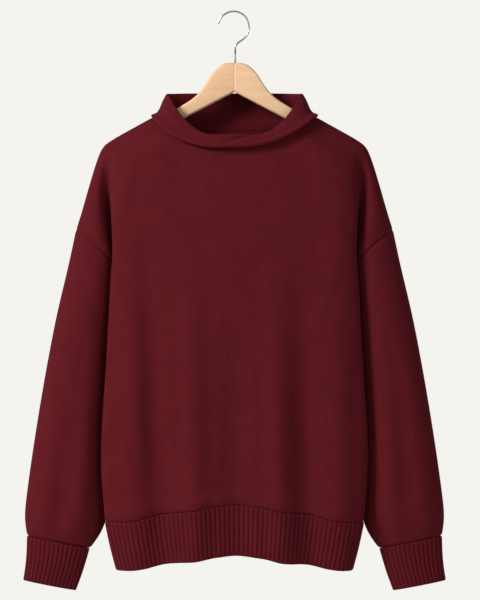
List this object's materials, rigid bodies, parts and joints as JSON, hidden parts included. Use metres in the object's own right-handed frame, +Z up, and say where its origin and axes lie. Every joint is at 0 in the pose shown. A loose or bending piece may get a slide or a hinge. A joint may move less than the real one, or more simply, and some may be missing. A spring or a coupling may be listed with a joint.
{
  "type": "funnel-neck sweater on a hanger",
  "caption": "Loose drop-shoulder knit sweater with a slumped funnel neck, ribbed cuffs and ribbed hem, hanging on a wooden hanger with a wire hook.",
  "frame": {"origin": "inside top of the wire hook, where a rail carries it", "axes": "+Z up; the front of the sweater faces -Y; +X is to the right as seen from the front"},
  "size_m": [0.6344, 0.1079, 0.8687],
  "materials": {
    "knit": "matte brushed fine knit",
    "rib_knit": "matte ribbed knit",
    "warm_wood": "clear satin lacquer",
    "pale_wood": "clear satin lacquer",
    "hook_steel": "bright plated wire"
  },
  "bodies": {
    "root": {"back": "knit", "collar": "knit", "cuff_left": "rib_knit", "cuff_right": "rib_knit", "front": "knit", "hanger_hook": "hook_steel", "hanger_left": "warm_wood", "hanger_right": "pale_wood", "hem_back": "rib_knit", "hem_front": "rib_knit", "sleeve_left": "knit", "sleeve_right": "knit"}
  },
  "joints": []
}
